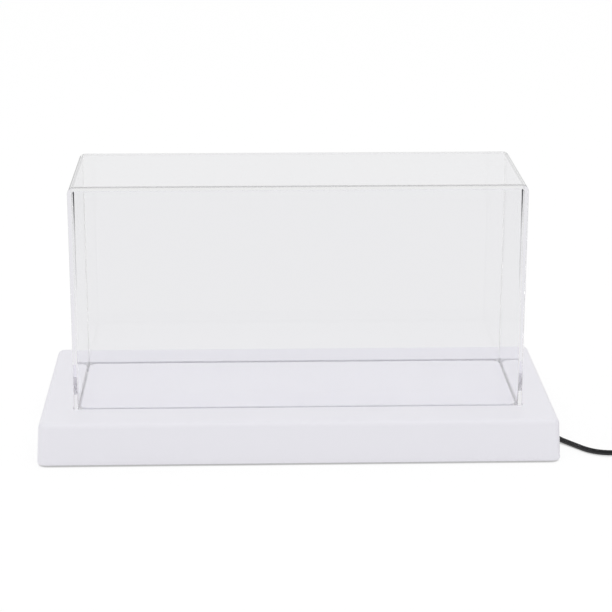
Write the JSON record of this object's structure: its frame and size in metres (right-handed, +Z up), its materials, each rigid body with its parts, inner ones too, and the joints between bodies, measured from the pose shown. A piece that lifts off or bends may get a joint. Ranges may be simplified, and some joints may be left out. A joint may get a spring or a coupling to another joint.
{
  "type": "display case",
  "caption": "Clear lift-off display case on a white base with a lit floor panel, a groove for the cover's rim and a black supply lead with a hand switch and plug.",
  "frame": {"origin": "middle of the base's footprint, on the surface that the rubber feet stand on; the supply lead is left out", "axes": "+X to the right of someone who faces the front, along the case's length; +Y from front to back; +Z up, the way the cover lifts off"},
  "size_m": [0.4554, 0.2096, 0.1812],
  "materials": {
    "clear_acrylic": "clear polished sheet",
    "white_abs": "white, low gloss",
    "opal_acrylic": "milky white, low gloss",
    "zinc_steel": "zinc plated",
    "black_rubber": "matt",
    "board_white": "white board lacquer",
    "diode_resin": "yellow resin",
    "resistor_black": "matt ceramic",
    "wire_red": "satin",
    "wire_black": "satin",
    "lead_pvc": "satin black",
    "strap_fabric": "woven black",
    "switch_abs": "fine textured black",
    "rocker_abs": "satin black",
    "plug_nickel": "bright nickel",
    "plug_insulator": "white",
    "contact_gold": "bright"
  },
  "bodies": {
    "base": {"base_shell": "white_abs", "floor_panel": "opal_acrylic", "bottom_plate": "white_abs", "bottom_plate_screws": "zinc_steel", "rubber_feet": "black_rubber", "light_board_front": "board_white", "light_board_rear": "board_white", "light_diodes": "diode_resin", "board_resistors": "resistor_black", "link_wire_red": "wire_red", "link_wire_black": "wire_black", "supply_wire_red": "wire_red", "supply_wire_black": "wire_black", "lead_clamp_bar": "white_abs", "lead_clamp_screws": "zinc_steel", "strain_relief": "lead_pvc", "lead_inner": "lead_pvc", "lead_free_run": "lead_pvc", "lead_coil": "lead_pvc", "coil_strap": "strap_fabric", "lead_to_switch": "lead_pvc", "switch_case_lower": "switch_abs", "switch_case_upper": "switch_abs", "switch_screws": "zinc_steel", "lead_to_plug": "lead_pvc", "plug_body": "lead_pvc", "plug_shell": "plug_nickel", "plug_tongue": "plug_insulator", "plug_contacts": "contact_gold"},
    "cover": {"cover_wrap": "clear_acrylic", "cover_front_panel": "clear_acrylic", "cover_back_panel": "clear_acrylic"},
    "rocker": {"switch_rocker": "rocker_abs"}
  },
  "joints": [
    {"name": "cover_lift", "type": "slide", "parent": "base", "child": "cover", "axis": [0, 0, 1], "range_m": [0, 0.2]},
    {"name": "rocker_tilt", "type": "hinge", "parent": "base", "child": "rocker", "pos_m": [0.27263, 0.0083, 0.01], "axis": [1, 0, 0], "range_deg": [0, 18]}
  ]
}
